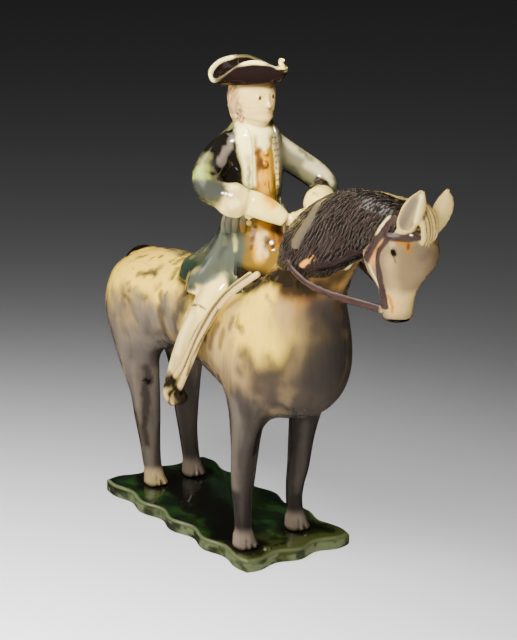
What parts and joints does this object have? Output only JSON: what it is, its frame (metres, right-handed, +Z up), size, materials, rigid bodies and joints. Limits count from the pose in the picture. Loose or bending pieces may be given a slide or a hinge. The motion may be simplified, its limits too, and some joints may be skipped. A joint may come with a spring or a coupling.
{
  "type": "staffordshire figure",
  "caption": "Lead-glazed creamware figure of a rider in a cocked hat on a standing horse, on a green slab base with scalloped edges.",
  "frame": {"origin": "on the base's underside, in the middle of its width and 1.5 mm behind the middle of its length", "axes": "+X the way the horse faces, +Y to the horse's left, +Z up"},
  "size_m": [0.2363, 0.0734, 0.2241],
  "materials": {
    "base": "glossy lead glaze, dark and light green, bare on the underside",
    "horse": "glossy lead glaze, mottled grey-brown over cream",
    "rider": "glossy lead glaze, green-grey, ochre, brown and cream"
  },
  "bodies": {
    "root": {"base": "base", "horse": "horse", "rider": "rider"}
  },
  "joints": []
}
